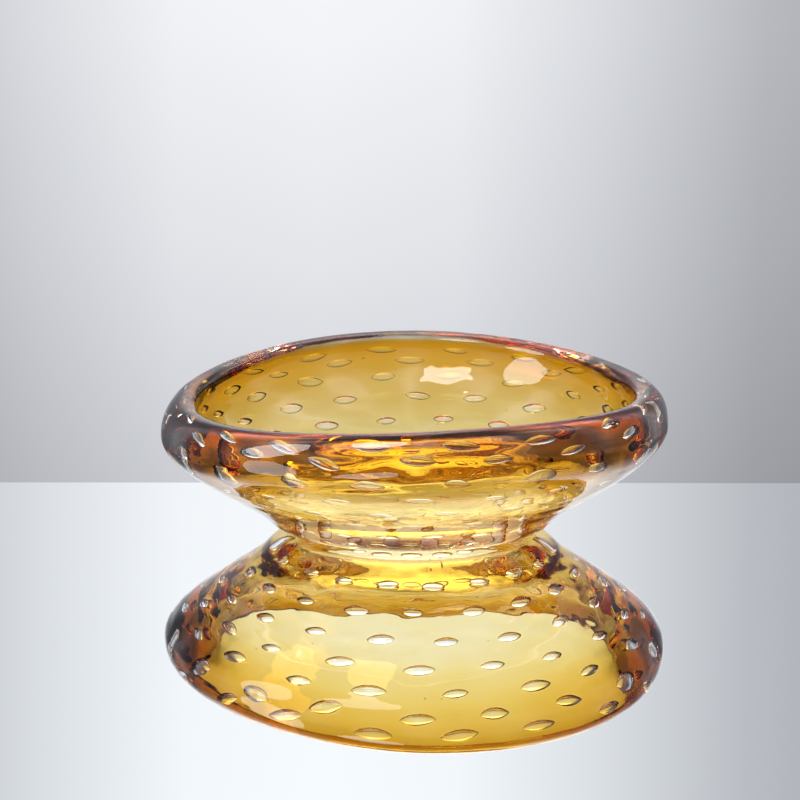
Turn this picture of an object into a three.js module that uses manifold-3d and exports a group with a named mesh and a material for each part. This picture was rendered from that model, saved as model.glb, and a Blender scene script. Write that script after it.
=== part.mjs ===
// A hand-blown, cased glass bowl with a free-formed rim, standing on its ground foot.
// Two layers of glass make it: an amber inner bowl, whose outer face a spiked mould has
// pitted in staggered rows, and a thick clear casing gathered over it, which seals the
// pits as air bubbles and rolls over into the rim.
// Millimetres, +Z up. The origin is on the foot's flat face, under the middle of the foot.
// +X is to the right and -Y is the front.
import * as THREE from 'three';
import { mergeVertices } from 'three/addons/utils/BufferGeometryUtils.js';
import Module from 'manifold-3d';

const wasm = await Module();
wasm.setup();

// ---- driving dimensions -------------------------------------------------------------

// Knots of the bowl's section, as radius and height.
const FOOT_FLAT = { r: 66, z: 0 };
const FOOT_EDGE = { r: 80, z: 6 };
const EQUATOR = { r: 139, z: 61.5 };
const CREST = { r: 127.5, z: 80 };
const LIP_EDGE = { r: 120.6, z: 77 };
const LIP = { r: 119.5, z: 74.5 };
const WALL_FOOT = { r: 78.5, z: 22.5 };
const FLOOR_HEIGHT = 10;

// The amber is thick under the rim, thins down the wall, and is thin in the floor.
const LAYER_TOP = { r: 126, z: 74 };
const LAYER_WALL_FOOT = { r: 79.3, z: 20.9 };
const AMBER_FLOOR = 1.5;
const LAYER_GAP = 0.35;

// The rim was worked by hand: it waves up and down round the bowl, and leans to the front.
const RIM_SADDLE = 4;
const RIM_BACK_LIFT = 2;
const RIM_RIGHT_LIFT = 2.6;
const RIM_TWIST = 1.6;
const RIM_LEAN = 6;
const RIM_SIDE_LEAN = 2;
const FOOT_DEPTH_RATIO = 0.89;
const RIM_DEPTH_RATIO = 1.01;

// The spiked mould's pits, in rows that start under the rim and open out downwards.
const PIT_ROWS = 8;
const PITS_PER_ROW = 18;
const FIRST_ROW_FROM_RIM = 3.5;
const ROW_PITCH = 4.5;
const ROW_PITCH_GROWTH = 1.5;
const PIT_HALF_LENGTH = { top: 7.4, bottom: 5 };
const PIT_HALF_HEIGHT = { top: 2.3, bottom: 3.8 };
const PIT_DEPTH = { top: 1.9, bottom: 0.9 };

// How finely the round shapes are divided.
const AROUND = 40;
const STEPS_PER_CURVE = 7;
const PIT_SIDES = 6;
const PIT_RINGS = 3;

const { lerp, smoothstep } = THREE.MathUtils;

// ---- the free form ------------------------------------------------------------------

// Where a point of the round bowl's section, at radius r and height z, goes on the real
// bowl: the foot stays flat, the wave grows up and outwards to the rim, and the lean
// grows with the height.
function freeform(r, z, angle) {
  const rise = z / CREST.z;
  const reach = r / CREST.r;
  const depthRatio = lerp(FOOT_DEPTH_RATIO, RIM_DEPTH_RATIO, smoothstep(rise, 0, 1));
  const wave = RIM_BACK_LIFT * Math.sin(angle) + RIM_RIGHT_LIFT * Math.cos(angle)
    - RIM_SADDLE * Math.cos(2 * angle) - RIM_TWIST * Math.sin(2 * angle);
  return new THREE.Vector3(
    r * Math.cos(angle) + rise * RIM_SIDE_LEAN,
    r * depthRatio * Math.sin(angle) - rise * RIM_LEAN,
    z + rise * reach * reach * wave,
  );
}

// ---- the bowl's section, x as radius and y as height --------------------------------

// A line of cubic curves. Each stretch is its two handles, as [radius, height], and its end.
function curvedLine(start, stretches) {
  const path = new THREE.Path();
  path.moveTo(start.r, start.z);
  for (const [leaving, arriving, end] of stretches) {
    path.bezierCurveTo(...leaving, ...arriving, end.r, end.z);
  }
  return path;
}

// The foot's edge, the wall that opens out over it, and the rolled rim down to the lip.
const outerFace = curvedLine(FOOT_FLAT, [
  [[72, 0], [76, 2], FOOT_EDGE],
  [[92, 20], [EQUATOR.r, 41], EQUATOR],
  [[EQUATOR.r, 71.7], [133.8, CREST.z], CREST],
  [[124.5, CREST.z], [122, 79.2], LIP_EDGE],
]);

// The face where the two glasses meet, from under the rim down to the axis.
const layerFace = curvedLine(LAYER_TOP, [
  [[123, 57], [106.5, 35.7], LAYER_WALL_FOOT],
  [[60.8, 10.9], [30, FLOOR_HEIGHT - AMBER_FLOOR], { r: 0, z: FLOOR_HEIGHT - AMBER_FLOOR }],
]);

// The inside of the bowl, from the lip down to the axis.
const innerFace = curvedLine(LIP, [
  [[119, 57], [104, 36], WALL_FOOT],
  [[60, 12.7], [30, FLOOR_HEIGHT], { r: 0, z: FLOOR_HEIGHT }],
]);

// The seam between the glasses: across the lip and down the layer face.
const seam = [
  new THREE.Vector2(LIP_EDGE.r, LIP_EDGE.z),
  ...layerFace.getPoints(STEPS_PER_CURVE),
];

// The same line, moved by a distance towards the right of its run. Ends on the axis stay on it.
function inset(line, distance) {
  return line.map((point, i) => {
    const before = line[Math.max(i - 1, 0)];
    const after = line[Math.min(i + 1, line.length - 1)];
    const arriving = (i === 0 ? after.clone().sub(point) : point.clone().sub(before)).normalize();
    const leaving = (i === line.length - 1 ? arriving.clone() : after.clone().sub(point)).normalize();
    const run = arriving.clone().add(leaving).normalize();
    const aside = new THREE.Vector2(run.y, -run.x).multiplyScalar(distance / run.dot(arriving));
    const moved = point.clone().add(aside);
    return new THREE.Vector2(point.x === 0 ? 0 : moved.x, moved.y);
  });
}

const casingSection = [
  new THREE.Vector2(0, 0),
  ...outerFace.getPoints(STEPS_PER_CURVE),
  ...seam.slice(1),
];

const amberSection = [
  ...inset(seam, LAYER_GAP).reverse(),
  ...innerFace.getPoints(STEPS_PER_CURVE),
];

// ---- solids -------------------------------------------------------------------------

function toManifold(geometry) {
  const bare = geometry.clone();
  bare.deleteAttribute('normal');
  bare.deleteAttribute('uv');
  const merged = mergeVertices(bare, 1e-4);
  const index = merged.index.array;
  const kept = [];
  for (let i = 0; i < index.length; i += 3) {
    const [a, b, c] = [index[i], index[i + 1], index[i + 2]];
    if (a !== b && b !== c && c !== a) kept.push(a, b, c);
  }
  return new wasm.Manifold(new wasm.Mesh({
    numProp: 3,
    vertProperties: new Float32Array(merged.attributes.position.array),
    triVerts: new Uint32Array(kept),
  }));
}

function toGeometry(solid) {
  const mesh = solid.getMesh();
  const geometry = new THREE.BufferGeometry();
  geometry.setAttribute('position', new THREE.BufferAttribute(mesh.vertProperties, 3));
  geometry.setIndex(new THREE.BufferAttribute(mesh.triVerts, 1));
  geometry.computeVertexNormals();
  return geometry;
}

// Turns a section about the upright axis and lays the result on the free form. The section
// runs so that the material is on its left, going round the outside from below.
function turnedLayer(section) {
  const geometry = new THREE.LatheGeometry(section, AROUND);
  const position = geometry.attributes.position;
  for (let i = 0; i < position.count; i += 1) {
    const r = Math.hypot(position.getX(i), position.getZ(i));
    const angle = Math.atan2(-position.getZ(i), position.getX(i));
    const place = freeform(r, position.getY(i), angle);
    position.setXYZ(i, place.x, place.y, place.z);
  }
  return toManifold(geometry);
}

// One lens-shaped pit, centred on the layer face with its long axis round the bowl. Share
// runs from 0 in the top row to 1 in the bottom row.
function pit(down, angle, share) {
  const u = down / layerFace.getLength();
  const at = layerFace.getPointAt(u);
  const slope = layerFace.getTangentAt(u);
  const centre = freeform(at.x, at.y, angle);
  const along = new THREE.Vector3(-Math.sin(angle), Math.cos(angle), 0);
  const downhill = new THREE.Vector3(slope.x * Math.cos(angle), slope.x * Math.sin(angle), slope.y);
  const across = new THREE.Vector3().crossVectors(downhill, along);
  const geometry = new THREE.SphereGeometry(1, PIT_SIDES, PIT_RINGS);
  geometry.scale(
    lerp(PIT_HALF_LENGTH.top, PIT_HALF_LENGTH.bottom, share),
    lerp(PIT_DEPTH.top, PIT_DEPTH.bottom, share),
    lerp(PIT_HALF_HEIGHT.top, PIT_HALF_HEIGHT.bottom, share),
  );
  geometry.applyMatrix4(new THREE.Matrix4().makeBasis(along, across, downhill));
  geometry.translate(centre.x, centre.y, centre.z);
  return toManifold(geometry);
}

function pittedAmber() {
  let solid = turnedLayer(amberSection);
  for (let row = 0; row < PIT_ROWS; row += 1) {
    const down = FIRST_ROW_FROM_RIM + ROW_PITCH * row + ROW_PITCH_GROWTH * row * row;
    const stagger = row % 2 === 0 ? 0 : 0.5;
    for (let k = 0; k < PITS_PER_ROW; k += 1) {
      const angle = ((k + stagger) / PITS_PER_ROW) * 2 * Math.PI;
      solid = solid.subtract(pit(down, angle, row / (PIT_ROWS - 1)));
    }
  }
  return solid;
}

// ---- the assembly -------------------------------------------------------------------

function glassLayer(name, solid, color, opacity) {
  const material = new THREE.MeshStandardMaterial({
    color, opacity, transparent: true, roughness: 0.03, metalness: 0,
  });
  const mesh = new THREE.Mesh(toGeometry(solid), material);
  mesh.name = name;
  return mesh;
}

const bowl = new THREE.Group();
bowl.add(glassLayer('clear_outer_casing', turnedLayer(casingSection), '#d9d0d6', 0.35));
bowl.add(glassLayer('amber_inner_bowl', pittedAmber(), '#d08a12', 0.8));

export default bowl;
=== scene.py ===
import math
import random

import bmesh
import bpy
from mathutils import Matrix, Vector, noise
from mathutils.geometry import interpolate_bezier
from mathutils.kdtree import KDTree


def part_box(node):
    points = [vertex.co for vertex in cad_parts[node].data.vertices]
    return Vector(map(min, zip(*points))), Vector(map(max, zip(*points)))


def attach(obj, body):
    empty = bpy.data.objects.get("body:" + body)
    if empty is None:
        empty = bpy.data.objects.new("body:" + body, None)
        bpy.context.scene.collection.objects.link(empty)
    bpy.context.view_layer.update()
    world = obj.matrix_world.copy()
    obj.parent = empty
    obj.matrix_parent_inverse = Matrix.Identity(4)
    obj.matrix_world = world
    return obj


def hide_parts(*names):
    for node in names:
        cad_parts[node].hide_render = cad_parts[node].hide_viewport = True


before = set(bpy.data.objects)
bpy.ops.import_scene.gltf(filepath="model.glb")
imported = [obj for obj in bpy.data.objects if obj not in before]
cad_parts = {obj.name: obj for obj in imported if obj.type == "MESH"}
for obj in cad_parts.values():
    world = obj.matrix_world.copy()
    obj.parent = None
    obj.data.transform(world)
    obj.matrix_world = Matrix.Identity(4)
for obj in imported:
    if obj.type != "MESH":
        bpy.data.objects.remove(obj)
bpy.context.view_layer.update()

bl_info = {
    "name": "Cased Glass Bowl",
    "version": (1, 0, 0),
    "blender": (4, 5, 0),
    "location": "View3D > Sidebar > Glass Bowl",
    "description": "A hand-blown amber bowl cased in clear glass, with rows of trapped bubbles",
    "category": "Add Mesh",
}

CASING_LOW, CASING_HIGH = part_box("clear_outer_casing")
MM = 0.001

# The bowl's size comes from the frame. Its section is drawn in millimetres for a bowl of
# the design width, and UNIT is how many metres of the frame's bowl one of them is.
DESIGN_WIDTH = 278.0
DESIGN_CREST = 80.0
UNIT = (CASING_HIGH[0] - CASING_LOW[0]) / DESIGN_WIDTH

# How many rows of bubbles fit down the face between the two glasses.
MOST_ROWS = 8


# ---- settings that a user would change ----------------------------------------------


class BowlSettings(bpy.types.PropertyGroup):
    """The shape and glass of the bowl."""

    wave: bpy.props.FloatProperty(
        name="Surface Wave", description="How far the blown faces wave in and out, in millimetres",
        default=0.3, min=0.0, max=2.0)
    bubble_rows: bpy.props.IntProperty(
        name="Bubble Rows", description="Rows of trapped bubbles, from the rim down",
        default=MOST_ROWS, min=1, max=MOST_ROWS)
    bubbles_per_row: bpy.props.IntProperty(
        name="Bubbles per Row", description="Spikes round the mould", default=18, min=6, max=30)
    seeds: bpy.props.IntProperty(
        name="Seeds", description="Stray pinhead bubbles left in the glass",
        default=80, min=0, max=400)
    amber_density: bpy.props.FloatProperty(
        name="Amber Density", description="How strongly the amber layer absorbs, per metre",
        default=650.0, min=0.0, max=2000.0)
    amber_color: bpy.props.StringProperty(
        name="Amber", description="The hue that the amber layer lets through, as an sRGB hex value",
        default="F7E242")
    clear_density: bpy.props.FloatProperty(
        name="Casing Density", description="How strongly the clear casing absorbs, per metre",
        default=2.4, min=0.0, max=100.0)
    clear_color: bpy.props.StringProperty(
        name="Casing", description="The faint smoky hue of the clear casing, as an sRGB hex value",
        default="C8B8C0")


class StudioSettings(bpy.types.PropertyGroup):
    """The floor, light and camera."""

    left_power: bpy.props.FloatProperty(
        name="Left Power", description="Power of the tall softbox at the left",
        default=9.0, min=0.0, subtype="POWER")
    front_power: bpy.props.FloatProperty(
        name="Front Power", description="Power of the softbox above the camera's left",
        default=6.0, min=0.0, subtype="POWER")
    view_elevation: bpy.props.FloatProperty(
        name="View Elevation", description="How far above the floor the camera looks from",
        default=math.radians(14.6), subtype="ANGLE")
    view_distance: bpy.props.FloatProperty(
        name="View Distance", description="From the camera to the bowl's foot",
        default=1.5, min=0.5, unit="LENGTH")


# ---- colour and node helpers --------------------------------------------------------


def srgb(hex_value):
    """Turns an sRGB hex value into the linear colour that shaders work in."""
    channels = [int(hex_value[i:i + 2], 16) / 255 for i in (0, 2, 4)]
    linear = [c / 12.92 if c <= 0.04045 else ((c + 0.055) / 1.055) ** 2.4 for c in channels]
    return (*linear, 1.0)


def add_node(tree, kind, inputs=None, **settings):
    """Adds a node with its settings, and fills its sockets with values or links."""
    node = tree.nodes.new(kind)
    for name, value in settings.items():
        setattr(node, name, value)
    for name, value in (inputs or {}).items():
        socket = node.inputs[name]
        if isinstance(value, bpy.types.NodeSocket):
            tree.links.new(value, socket)
        else:
            socket.default_value = value
    return node


def new_material(name):
    """A new material, and its node tree with nothing in it."""
    material = bpy.data.materials.new(name)
    material.use_nodes = True
    material.node_tree.nodes.clear()
    return material, material.node_tree


# ---- materials ----------------------------------------------------------------------

# The ripples that the blowing tools leave in a face: from crest to crest, and their depth.
RIPPLE_PITCH = 18 * MM
RIPPLE_DEPTH = 0.3 * MM


def blown_clear_glass(settings):
    """Soda-lime glass, blown and fire-polished: clear, faintly smoky where it is thick,
    with a mirror gloss that bends a little over the ripples of hand work."""
    material, tree = new_material("blown_clear_glass")
    where = add_node(tree, "ShaderNodeTexCoord")
    ripple = add_node(tree, "ShaderNodeTexNoise", {
        "Vector": where.outputs["Object"], "Scale": 1 / RIPPLE_PITCH, "Detail": 1.5})
    bump = add_node(tree, "ShaderNodeBump", {
        "Height": ripple.outputs["Fac"], "Strength": 1.0, "Distance": RIPPLE_DEPTH})
    glass = add_node(tree, "ShaderNodeBsdfPrincipled", {
        "Base Color": (1.0, 1.0, 1.0, 1.0), "Roughness": 0.0, "IOR": 1.5,
        "Transmission Weight": 1.0, "Normal": bump.outputs["Normal"]})
    smoke = add_node(tree, "ShaderNodeVolumeAbsorption", {
        "Color": srgb(settings.clear_color), "Density": settings.clear_density})
    add_node(tree, "ShaderNodeOutputMaterial", {
        "Surface": glass.outputs["BSDF"], "Volume": smoke.outputs["Volume"]})
    return material


def gathered_amber_glass(settings):
    """Amber soda glass, gathered as an inner layer and fused to the casing, so no gloss of
    its own shows: it only colours the light that goes through it, deeper where it is thick."""
    material, tree = new_material("gathered_amber_glass")
    glass = add_node(tree, "ShaderNodeBsdfPrincipled", {
        "Base Color": (1.0, 1.0, 1.0, 1.0), "Roughness": 0.0, "IOR": 1.0,
        "Transmission Weight": 1.0})
    amber = add_node(tree, "ShaderNodeVolumeAbsorption", {
        "Color": srgb(settings.amber_color), "Density": settings.amber_density})
    add_node(tree, "ShaderNodeOutputMaterial", {
        "Surface": glass.outputs["BSDF"], "Volume": amber.outputs["Volume"]})
    return material


def silvered_plate():
    """A polished mirror plate: pale, and almost a perfect reflection."""
    material, tree = new_material("silvered_plate")
    plate = add_node(tree, "ShaderNodeBsdfPrincipled", {
        "Base Color": srgb("F6F9FA"), "Roughness": 0.0, "Metallic": 1.0})
    add_node(tree, "ShaderNodeOutputMaterial", {"Surface": plate.outputs["BSDF"]})
    return material


# ---- the bowl's free form -----------------------------------------------------------

# How far the hand-worked rim waves up and down and leans, in millimetres, and how deep the
# bowl is from front to back for its width.
RIM_SADDLE = 4.0
RIM_BACK_LIFT = 2.0
RIM_RIGHT_LIFT = 2.6
RIM_TWIST = 1.6
RIM_LEAN = 6.0
RIM_SIDE_LEAN = 2.0
FOOT_DEPTH_RATIO = 0.89
RIM_DEPTH_RATIO = 1.01
CREST_RADIUS = 127.5


def smoothstep(t):
    """Rises from 0 to 1 as t does, easing in and out."""
    t = min(max(t, 0.0), 1.0)
    return t * t * (3 - 2 * t)


def freeform(r, z, angle):
    """Where a point of the round section goes on the hand-worked bowl, in metres."""
    rise = z / DESIGN_CREST
    reach = r / CREST_RADIUS
    ratio = FOOT_DEPTH_RATIO + (RIM_DEPTH_RATIO - FOOT_DEPTH_RATIO) * smoothstep(rise)
    wave = (RIM_BACK_LIFT * math.sin(angle) + RIM_RIGHT_LIFT * math.cos(angle)
            - RIM_SADDLE * math.cos(2 * angle) - RIM_TWIST * math.sin(2 * angle))
    return Vector((
        r * math.cos(angle) + rise * RIM_SIDE_LEAN,
        r * ratio * math.sin(angle) - rise * RIM_LEAN,
        z + rise * reach * reach * wave)) * UNIT


# ---- the bowl's section, as (radius, height) in millimetres -------------------------

FOOT_FACE = [[(0, 0), (22, 0), (44, 0), (66, 0)]]
OUTER_FACE = [
    [(66, 0), (72, 0), (76, 2), (80, 6)],
    [(80, 6), (92, 20), (139, 41), (139, 61.5)],
    [(139, 61.5), (139, 71.7), (133.8, 80), (127.5, 80)],
]
LIP = [[(127.5, 80), (123, 80), (119.5, 78.8), (119.5, 74.5)]]
INNER_FACE = [
    [(119.5, 74.5), (119, 57), (104, 36), (78.5, 22.5)],
    [(78.5, 22.5), (60, 12.7), (30, 10), (0, 10)],
]
LAYER_FACE = [
    [(126, 74), (123, 57), (106.5, 35.7), (79.3, 20.9)],
    [(79.3, 20.9), (60.5, 11.5), (30, 9.1), (0, 9.1)],
]
LAYER_LIP = [[(119.62, 74.5), (120.2, 78), (124.6, 78.4), (126, 74)]]

# The amber stops this far short of the bowl's inside face, which belongs to the casing piece.
SKIN = 0.12

# How far the layer face moves out at the back and in at the front, fully from this height up.
LAYER_SHIFT = 0.8
LAYER_SHIFT_HEIGHT = 40

# Into how many wedges a turned body is divided, and how finely each piece is: points along
# each stretch of its section, and round the bowl.
WEDGES = 16
CASING_STEPS = (4, 14, 52, 30, 16, 38, 26)
CASING_AROUND = 384
AMBER_OUTSIDE_STEPS = (76, 50)
AMBER_INSIDE_STEPS = (24, 16)
AMBER_LIP_STEPS = (8,)
AMBER_AROUND = 432
MEASURING_STEPS = (200, 200)

# The waves in a blown face, each as how quickly it changes round the bowl, with the height
# and with the radius, and its strength. They fade out down to the ground foot.
WAVES = [(2.6, 0.04, 0.05, 1.5), (7, 0.1, 0.12, 1.1), (1.4, 0.3, -0.1, 0.35)]
WAVES_FADE_HEIGHT = 16


def layer_radius(r, z, angle):
    """The gather lay deeper at the back than at the front, so the amber is thicker there."""
    return r + LAYER_SHIFT * math.sin(angle) * smoothstep(z / LAYER_SHIFT_HEIGHT)


def curve(points, steps):
    """Points along one stretch of the section, its start and end among them."""
    knots = [Vector((r, 0, z)) for r, z in points]
    return interpolate_bezier(*knots, steps + 1)


def chain(stretches, steps):
    """Points along several stretches, each joint once."""
    line = curve(stretches[0], steps[0])
    for stretch, count in zip(stretches[1:], steps[1:]):
        line += curve(stretch, count)[1:]
    return line


def shifted(line, distance):
    """The line moved square to its run, which is into the glass for a line that runs down
    the inside of the bowl. Its last point stays on the axis."""
    moved = []
    for i, point in enumerate(line):
        run = (line[min(i + 1, len(line) - 1)] - line[max(i - 1, 0)]).normalized()
        moved.append(point + Vector((-run.z, 0, run.x)) * distance)
    moved[-1].x = 0
    return moved


def spin_section(line, around):
    """Turns a section, drawn from axis to axis, into a closed body about the upright axis.
    One wedge is spun and then set round the axis, which is much quicker than one long spin."""
    wedge = bmesh.new()
    verts = [wedge.verts.new(p) for p in line]
    edges = [wedge.edges.new(pair) for pair in zip(verts, verts[1:])]
    bmesh.ops.spin(wedge, geom=verts + edges, cent=(0, 0, 0), axis=(0, 0, 1),
                   angle=math.tau / WEDGES, steps=around // WEDGES)
    slice_mesh = bpy.data.meshes.new("wedge")
    wedge.to_mesh(slice_mesh)
    wedge.free()
    bm = bmesh.new()
    for _ in range(WEDGES):
        bm.from_mesh(slice_mesh)
        slice_mesh.transform(Matrix.Rotation(math.tau / WEDGES, 4, "Z"))
    bmesh.ops.remove_doubles(bm, verts=bm.verts, dist=1e-3)
    bmesh.ops.recalc_face_normals(bm, faces=bm.faces)
    bm.normal_update()
    return bm


def ripple(r, z, angle, wave):
    """How far a blown face stands off its section, in long soft waves, none at the foot."""
    round_x, round_y = math.cos(angle), math.sin(angle)
    total = 0.0
    for turns, climb, spread, strength in WAVES:
        spot = Vector((round_x * turns, round_y * turns, z * climb + r * spread))
        total += strength * noise.noise(spot)
    return smoothstep(z / WAVES_FADE_HEIGHT) * wave * total


def finish_piece(bm, name, material, node):
    """Makes the mesh an object that rides with the bowl and stands for its CAD node."""
    mesh = bpy.data.meshes.new(name)
    bm.to_mesh(mesh)
    bm.free()
    mesh.materials.append(material)
    mesh.shade_smooth()
    piece = bpy.data.objects.new(name, mesh)
    bpy.context.collection.objects.link(piece)
    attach(piece, "root")
    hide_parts(node)


# ---- the trapped bubbles ------------------------------------------------------------

# Where the rows lie down the layer face, and the bubbles of the first and the last row, in
# millimetres. A bubble's pit is the deeper hollow that the spike left in the amber.
FIRST_ROW_FROM_RIM = 3.5
ROW_PITCH = 4.5
ROW_PITCH_GROWTH = 1.5
TOP_ROW = {"half_length": 9.2, "half_height": 2.1, "depth": 0.85, "pit": 2.0, "taper": 0.25}
BOTTOM_ROW = {"half_length": 5.6, "half_height": 4.0, "depth": 0.6, "pit": 0.65, "taper": 0.05}

# A row can dent the amber no further than this from its own line.
ROW_REACH = 7

# A random draw has a number, so that it comes out the same each time.
BUBBLE_DRAW = 41
PINHEAD_DRAW = 7

# How far the spikes leave a bubble off its mark: along its row as a share of the spacing,
# down the face in millimetres, in size, in height, and turned in degrees.
MARK_SLIP = 0.07
ROW_SLIP = 1.0
SIZE_RANGE = (0.82, 1.1)
HEIGHT_RANGE = (0.92, 1.1)
TILT_LIMIT = 7

# Where the pinhead bubbles lie down the layer face, and their radius, in millimetres.
PINHEAD_REACH = (2, 130)
PINHEAD_RADIUS = (0.25, 0.7)


class Bubble:
    """One lens-shaped bubble, centred on the face where the two glasses meet, over the
    deeper pit that the spike left in the amber."""

    def __init__(self, at, slope, down, angle, shape, tilt):
        self.down = down
        self.angle = angle
        self.radius = at[0]
        self.shape = shape
        along = Vector((-math.sin(angle), math.cos(angle), 0))
        downhill = Vector((slope[0] * math.cos(angle), slope[0] * math.sin(angle), slope[2]))
        downhill.normalize()
        across = downhill.cross(along)
        turn = Matrix.Rotation(tilt, 3, across)
        axes = Matrix((turn @ along, across, turn @ downhill)).transposed()
        sizes = Matrix.Diagonal((shape["half_length"], shape["depth"], shape["half_height"]))
        placed = (axes @ sizes * UNIT).to_4x4()
        centre = freeform(layer_radius(at[0], at[2], angle), at[2], angle)
        self.matrix = Matrix.Translation(centre) @ placed

    def girth(self, u):
        """How thick the bubble is at u, from its middle at 0 to its points at -1 and 1."""
        return (1 - u * u) ** (0.5 + self.shape["taper"])

    def dent(self, down, angle):
        """How deep the bubble's pit is at a place on the layer face."""
        turn = (angle - self.angle + math.pi) % math.tau - math.pi
        u = turn * self.radius / self.shape["half_length"]
        if abs(u) >= 1:
            return 0.0
        girth = self.girth(u)
        v = (down - self.down) / (self.shape["half_height"] * girth)
        if abs(v) >= 1:
            return 0.0
        return self.shape["pit"] * girth * math.sqrt(1 - v * v)


def walk(line, distance):
    """The point and the direction at a distance along a line of points."""
    for a, b in zip(line, line[1:]):
        step = (b - a).length
        if distance <= step:
            return a + (b - a) * (distance / step), (b - a) / step
        distance -= step
    raise ValueError("the row lies past the end of the layer face")


def bubble_rows(settings):
    """Every bubble, row by row, each a little off its mark as the spikes leave it."""
    chance = random.Random(BUBBLE_DRAW)
    face = chain(LAYER_FACE, MEASURING_STEPS)
    rows = []
    for row in range(settings.bubble_rows):
        share = row / (MOST_ROWS - 1)
        down = FIRST_ROW_FROM_RIM + ROW_PITCH * row + ROW_PITCH_GROWTH * row * row
        stagger = 0.5 * (row % 2)
        rows.append([])
        for k in range(settings.bubbles_per_row):
            mark = k + stagger + chance.uniform(-MARK_SLIP, MARK_SLIP)
            slip = down + chance.uniform(-ROW_SLIP, ROW_SLIP)
            at, slope = walk(face, slip)
            size = chance.uniform(*SIZE_RANGE)
            shape = {key: TOP_ROW[key] + (BOTTOM_ROW[key] - TOP_ROW[key]) * share
                     for key in TOP_ROW}
            shape["half_length"] *= size
            shape["half_height"] *= size * chance.uniform(*HEIGHT_RANGE)
            tilt = math.radians(chance.uniform(-TILT_LIMIT, TILT_LIMIT))
            rows[-1].append(Bubble(
                at, slope, slip, mark / settings.bubbles_per_row * math.tau, shape, tilt))
    return rows


def deepest_dent(rows, down, angle):
    """How deep the bubbles press into the amber's outer face at a place on it."""
    near = [row for row in rows if abs(row[0].down - down) < ROW_REACH]
    return max([bubble.dent(down, angle) for row in near for bubble in row], default=0.0)


def pinhead_bubbles(settings):
    """Stray small bubbles, scattered where the gathers met. They leave no pit."""
    chance = random.Random(PINHEAD_DRAW)
    face = chain(LAYER_FACE, MEASURING_STEPS)
    found = []
    for _ in range(settings.seeds):
        down = chance.uniform(*PINHEAD_REACH)
        at, slope = walk(face, down)
        size = chance.uniform(*PINHEAD_RADIUS)
        shape = {"half_length": size, "half_height": size, "depth": size, "pit": 0, "taper": 0}
        found.append(Bubble(at, slope, down, chance.uniform(0, math.tau), shape, 0.0))
    return found


def add_cavities(bm, skin, cavities):
    """Leaves each bubble in the glass: a copy of a skin of radius 1, narrowed to the
    bubble's two points and put where the bubble is."""
    for cavity in cavities:
        placed = skin.copy()
        for vert in placed.vertices:
            narrow = (1 - min(vert.co.x ** 2, 1)) ** cavity.shape["taper"]
            vert.co.y *= narrow
            vert.co.z *= narrow
        placed.transform(cavity.matrix)
        bm.from_mesh(placed)
        bpy.data.meshes.remove(placed)


def inward_skin(name, bm):
    """A round bubble's skin as a mesh, its faces looking in, as the glass round it ends there."""
    bmesh.ops.reverse_faces(bm, faces=bm.faces)
    skin = bpy.data.meshes.new(name)
    bm.to_mesh(skin)
    bm.free()
    return skin


def bubble_skin():
    """The skin of a bubble from a spike, with its poles at the bubble's two points."""
    bm = bmesh.new()
    bmesh.ops.create_uvsphere(bm, u_segments=12, v_segments=9, radius=1)
    bmesh.ops.rotate(bm, verts=bm.verts, matrix=Matrix.Rotation(math.pi / 2, 3, "Y"))
    return inward_skin("bubble_skin", bm)


def pinhead_skin():
    """The skin of a pinhead bubble, which is too small to need more than a few faces."""
    bm = bmesh.new()
    bmesh.ops.create_icosphere(bm, subdivisions=1, radius=1)
    return inward_skin("pinhead_skin", bm)


# ---- operators ----------------------------------------------------------------------


class BOWL_OT_casing(bpy.types.Operator):
    """Blow the clear glass: foot, rolled rim and inside face, with the bubbles in it."""

    bl_idname = "glass_bowl.casing"
    bl_label = "Clear Casing"

    def execute(self, context):
        settings = context.scene.glass_bowl
        line = chain([*FOOT_FACE, *OUTER_FACE, *LIP, *INNER_FACE], CASING_STEPS)
        bm = spin_section(line, CASING_AROUND)
        for vert in bm.verts:
            r = math.hypot(vert.co.x, vert.co.y)
            angle = math.atan2(vert.co.y, vert.co.x)
            away = ripple(r, vert.co.z, angle, settings.wave)
            vert.co = freeform(r + away, vert.co.z, angle)
        add_cavities(bm, bubble_skin(), [b for row in bubble_rows(settings) for b in row])
        add_cavities(bm, pinhead_skin(), pinhead_bubbles(settings))
        finish_piece(bm, "clear_casing", blown_clear_glass(settings),
                     "clear_outer_casing")
        return {"FINISHED"}


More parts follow.
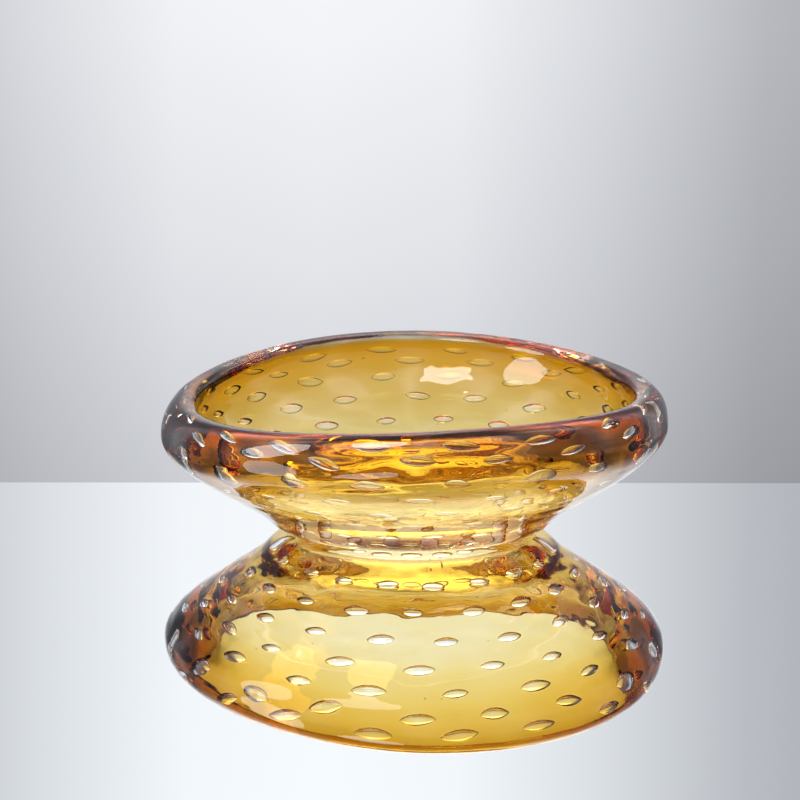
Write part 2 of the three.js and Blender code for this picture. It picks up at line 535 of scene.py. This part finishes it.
class BOWL_OT_amber(bpy.types.Operator):
    """Gather the amber layer that lines the bowl, dented where the bubbles press into it."""

    bl_idname = "glass_bowl.amber"
    bl_label = "Amber Layer"

    def execute(self, context):
        settings = context.scene.glass_bowl
        outside = chain(LAYER_FACE, AMBER_OUTSIDE_STEPS)
        inside = shifted(chain(INNER_FACE, AMBER_INSIDE_STEPS), SKIN)
        lip = chain(LAYER_LIP, AMBER_LIP_STEPS)
        line = outside[::-1] + lip[-2:0:-1] + inside
        bm = spin_section(line, AMBER_AROUND)
        # How far down the layer face each point of the section's outside lies.
        down_at = [0.0]
        for here, there in zip(outside, outside[1:]):
            down_at.append(down_at[-1] + (there - here).length)
        down_at.reverse()
        nearest = KDTree(len(line))
        for i, point in enumerate(line):
            nearest.insert(point, i)
        nearest.balance()
        rows = bubble_rows(settings)
        for vert in bm.verts:
            r = math.hypot(vert.co.x, vert.co.y)
            z = vert.co.z
            angle = math.atan2(vert.co.y, vert.co.x)
            i = nearest.find((r, 0, z))[1]
            if i < len(down_at):
                dent = deepest_dent(rows, down_at[i], angle)
                place = freeform(layer_radius(r, z, angle), z, angle)
                vert.co = place - vert.normal * dent * UNIT
            else:
                vert.co = freeform(r + ripple(r, z, angle, settings.wave), z, angle)
        finish_piece(bm, "amber_layer", gathered_amber_glass(settings),
                     "amber_inner_bowl")
        return {"FINISHED"}


class BOWL_OT_stage(bpy.types.Operator):
    """Set the mirror plate, the pale studio, the softboxes and the camera."""

    bl_idname = "glass_bowl.stage"
    bl_label = "Studio"

    def execute(self, context):
        scene = context.scene
        studio = scene.glass_studio
        add_plate()
        add_world(scene)
        add_softbox("softbox_left", studio.left_power, **LEFT_SOFTBOX)
        add_softbox("softbox_front", studio.front_power, **FRONT_SOFTBOX)
        add_camera(scene, studio)
        scene.view_settings.view_transform = "Standard"
        scene.cycles.sample_clamp_indirect = 4.0
        scene.cycles.max_bounces = 40
        scene.cycles.transmission_bounces = 40
        scene.cycles.glossy_bounces = 12
        scene.cycles.transparent_max_bounces = 40
        return {"FINISHED"}


# The plate, in metres. It mirrors at its silvered back, a little under the foot.
PLATE_HALF_WIDTH = 1.6
PLATE_HALF_DEPTH = 1.0
PLATE_BACK_EDGE = 0.104
SILVER_BELOW_FOOT = 0.0022

# Where each softbox stands, what it points at, and its width and height, in metres.
LEFT_SOFTBOX = {"place": (-1.01, -0.45, 0.52), "target": (0, 0, 0.2), "size": (0.52, 0.95)}
FRONT_SOFTBOX = {"place": (-0.36, -0.79, 1.0), "target": (0, 0, 0.05), "size": (0.52, 0.5)}


def add_plate():
    """Lays the mirror plate under the bowl."""
    bm = bmesh.new()
    bmesh.ops.create_grid(bm, x_segments=1, y_segments=1, size=1)
    bmesh.ops.scale(bm, vec=(PLATE_HALF_WIDTH, PLATE_HALF_DEPTH, 1), verts=bm.verts)
    middle = (0, PLATE_BACK_EDGE - PLATE_HALF_DEPTH, -SILVER_BELOW_FOOT)
    bmesh.ops.translate(bm, vec=middle, verts=bm.verts)
    mesh = bpy.data.meshes.new("mirror_plate")
    bm.to_mesh(mesh)
    bm.free()
    mesh.materials.append(silvered_plate())
    plate = bpy.data.objects.new("mirror_plate", mesh)
    bpy.context.collection.objects.link(plate)


def add_softbox(name, power, place, target, size):
    """Hangs an oval softbox and points it at a place."""
    light = bpy.data.lights.new(name, "AREA")
    light.shape = "ELLIPSE"
    light.size, light.size_y = size
    light.energy = power
    lamp = bpy.data.objects.new(name, light)
    lamp.location = place
    aim = Vector(target) - Vector(place)
    lamp.rotation_euler = aim.to_track_quat("-Z", "Y").to_euler()
    bpy.context.collection.objects.link(lamp)


# The pools of light on the backdrop, in degrees round the bowl from straight behind it.
POOL_CENTRE = -2.0
POOL_SPACING = 45.0

# Brightness against degrees above the horizon, as the backdrop looks itself and as it
# lights the glass, and against degrees from a pool's middle and degrees round the bowl.
SEEN_HEIGHT = [(-90, 0.2), (-30, 0.36), (-20, 0.5), (-13.7, 0.69), (-8.8, 0.84), (-4, 0.95),
               (3, 0.98), (14, 1.02), (21, 1.04), (33, 1.1), (41, 3.0), (57, 3.0), (66, 1.0),
               (90, 0.6)]
THROUGH_HEIGHT = [(-90, 0.2), (-30, 0.65), (-20, 0.86), (-14, 0.9), (-5, 0.83), (2, 0.85),
                  (10, 1.02), (16, 1.12), (27, 1.2), (33, 1.6), (41, 3.2), (54, 3.2), (66, 0.8),
                  (90, 0.3)]
POOL_SEEN = [(0, 1.0), (3, 0.97), (6, 0.8), (9.4, 0.57), (12, 0.48), (16, 0.4), (22.5, 0.36)]
BACK_POOL = [(0, 1.0), (9, 0.98), (15, 0.92), (20, 0.76), (26, 0.44), (32, 0.17), (40, 0.05),
             (90, 0.02)]
SIDE_STRENGTH = [(0, 0.0), (29, 0.0), (44, 0.7), (180, 0.7)]
SIDE_HEIGHT = [(-90, 0.2), (-30, 0.6), (-15, 0.95), (12, 1.0), (20, 0.8), (30, 0.25), (90, 0.1)]
LIGHT_TINT = "FAFCFF"
SHADE_TINT = "E6EAF6"

# How far back a direction points where the pool behind the bowl starts, and where it is full.
BEHIND_BOWL = (-0.1, 0.2)

# Below this depth a mirrored ray has met one surface only, the plate or the bowl's outside.
DIRECT_DEPTH = 2.5

# A Mix node has a pair of inputs for each kind of value, so they are told apart by number.
MIX_VALUES = (2, 3)
MIX_COLORS = (6, 7)
MIXED_COLOR = 2


def add_world(scene):
    """A pale backdrop that is not the same for every ray. What is seen of it straight, or
    mirrored once, is soft pools of light 45 degrees apart that fade downwards. What reaches
    the eye through the glass is the pool behind the bowl and weaker ones at its sides, with
    dark gaps between them that give the glass its dark edges."""
    world = bpy.data.worlds.new("studio")
    world.use_nodes = True
    tree = world.node_tree
    tree.nodes.clear()
    way = add_node(tree, "ShaderNodeTexCoord").outputs["Generated"]
    xyz = add_node(tree, "ShaderNodeSeparateXYZ", {"Vector": way})

    def work_out(operation, a, b=0.0):
        return add_node(tree, "ShaderNodeMath", {0: a, 1: b}, operation=operation).outputs[0]

    def in_degrees(angle):
        return work_out("MULTIPLY", angle, 180 / math.pi)

    def ramp(value, low, high, stops):
        share = add_node(tree, "ShaderNodeMapRange", {
            "Value": value, "From Min": low, "From Max": high}).outputs[0]
        node = add_node(tree, "ShaderNodeValToRGB", {"Fac": share})
        fill_ramp(node, [((at - low) / (high - low), level) for at, level in stops])
        return node.outputs["Color"]

    azimuth = in_degrees(work_out("ARCTAN2", xyz.outputs["X"], xyz.outputs["Y"]))
    height = in_degrees(work_out("ARCSINE", xyz.outputs["Z"]))
    half = POOL_SPACING / 2
    turned = work_out("ADD", azimuth, 360 + half - POOL_CENTRE)
    off = work_out("ABSOLUTE", work_out("SUBTRACT", work_out("MODULO", turned, POOL_SPACING), half))
    round_bowl = work_out("ABSOLUTE", azimuth)
    side_pools = work_out("MULTIPLY", ramp(off, 0, half, POOL_SEEN),
                          ramp(round_bowl, 0, 180, SIDE_STRENGTH))
    low_pools = work_out("MULTIPLY", side_pools, ramp(height, -90, 90, SIDE_HEIGHT))
    aside = in_degrees(work_out("ABSOLUTE", work_out("ARCSINE", xyz.outputs["X"])))
    behind = add_node(tree, "ShaderNodeMapRange", {
        "Value": xyz.outputs["Y"], "From Min": BEHIND_BOWL[0],
        "From Max": BEHIND_BOWL[1]}).outputs[0]
    back_pool = work_out("MULTIPLY", ramp(aside, 0, 90, BACK_POOL), behind)
    lit_pool = work_out("MULTIPLY", back_pool, ramp(height, -90, 90, THROUGH_HEIGHT))
    through = work_out("ADD", lit_pool, low_pools)
    seen = work_out("MULTIPLY", ramp(height, -90, 90, SEEN_HEIGHT), ramp(off, 0, half, POOL_SEEN))
    path = add_node(tree, "ShaderNodeLightPath").outputs
    mirrored = work_out("MULTIPLY", path["Is Glossy Ray"],
                        work_out("LESS_THAN", path["Ray Depth"], DIRECT_DEPTH))
    direct = work_out("ADD", path["Is Camera Ray"], mirrored)
    level = add_node(tree, "ShaderNodeMix", {
        "Factor": direct, MIX_VALUES[0]: through, MIX_VALUES[1]: seen},
        data_type="FLOAT").outputs[0]
    tint = add_node(tree, "ShaderNodeMix", {
        "Factor": level, MIX_COLORS[0]: srgb(SHADE_TINT),
        MIX_COLORS[1]: srgb(LIGHT_TINT)}, data_type="RGBA").outputs[MIXED_COLOR]
    glow = add_node(tree, "ShaderNodeBackground", {"Color": tint, "Strength": level})
    add_node(tree, "ShaderNodeOutputWorld", {"Surface": glow.outputs["Background"]})
    scene.world = world


def fill_ramp(node, stops):
    """Gives a colour ramp its stops, each as a position and a grey level."""
    elements = node.color_ramp.elements
    while len(elements) < len(stops):
        elements.new(0.5)
    for element, (position, level) in zip(elements, stops):
        element.position = position
        element.color = (level, level, level, 1.0)


# The camera's lens in millimetres, and how far above and left of the foot it points.
CAMERA_LENS = 121.4
POINTS_ABOVE_FOOT = math.radians(2.62)
POINTS_LEFT_OF_FOOT = math.radians(0.25)


def add_camera(scene, studio):
    """Looks at the bowl from the front, a little above it, with the bowl low in the frame."""
    camera = bpy.data.cameras.new("camera")
    camera.sensor_width = 36
    camera.lens = CAMERA_LENS
    camera.clip_start = 0.01
    eye = bpy.data.objects.new("camera", camera)
    elevation = studio.view_elevation
    eye.location = Vector((0, -math.cos(elevation), math.sin(elevation))) * studio.view_distance
    tilt = math.pi / 2 - elevation + POINTS_ABOVE_FOOT
    eye.rotation_euler = (tilt, 0, POINTS_LEFT_OF_FOOT)
    bpy.context.collection.objects.link(eye)
    scene.camera = eye


class BOWL_PT_panel(bpy.types.Panel):
    """The bowl's settings and its operators, in the order they are used."""

    bl_idname = "BOWL_PT_panel"
    bl_label = "Glass Bowl"
    bl_space_type = "VIEW_3D"
    bl_region_type = "UI"
    bl_category = "Glass Bowl"

    def draw(self, context):
        for group in (context.scene.glass_bowl, context.scene.glass_studio):
            for name in group.__annotations__:
                self.layout.prop(group, name)
        for operator in OPERATORS:
            self.layout.operator(operator.bl_idname)


OPERATORS = (BOWL_OT_casing, BOWL_OT_amber, BOWL_OT_stage)
CLASSES = (BowlSettings, StudioSettings, *OPERATORS, BOWL_PT_panel)


def register():
    for cls in CLASSES:
        bpy.utils.register_class(cls)
    bpy.types.Scene.glass_bowl = bpy.props.PointerProperty(type=BowlSettings)
    bpy.types.Scene.glass_studio = bpy.props.PointerProperty(type=StudioSettings)


def unregister():
    del bpy.types.Scene.glass_studio
    del bpy.types.Scene.glass_bowl
    for cls in reversed(CLASSES):
        bpy.utils.unregister_class(cls)


def main():
    register()
    bpy.ops.glass_bowl.casing()
    bpy.ops.glass_bowl.amber()
    bpy.ops.glass_bowl.stage()


if __name__ == "__main__":
    main()
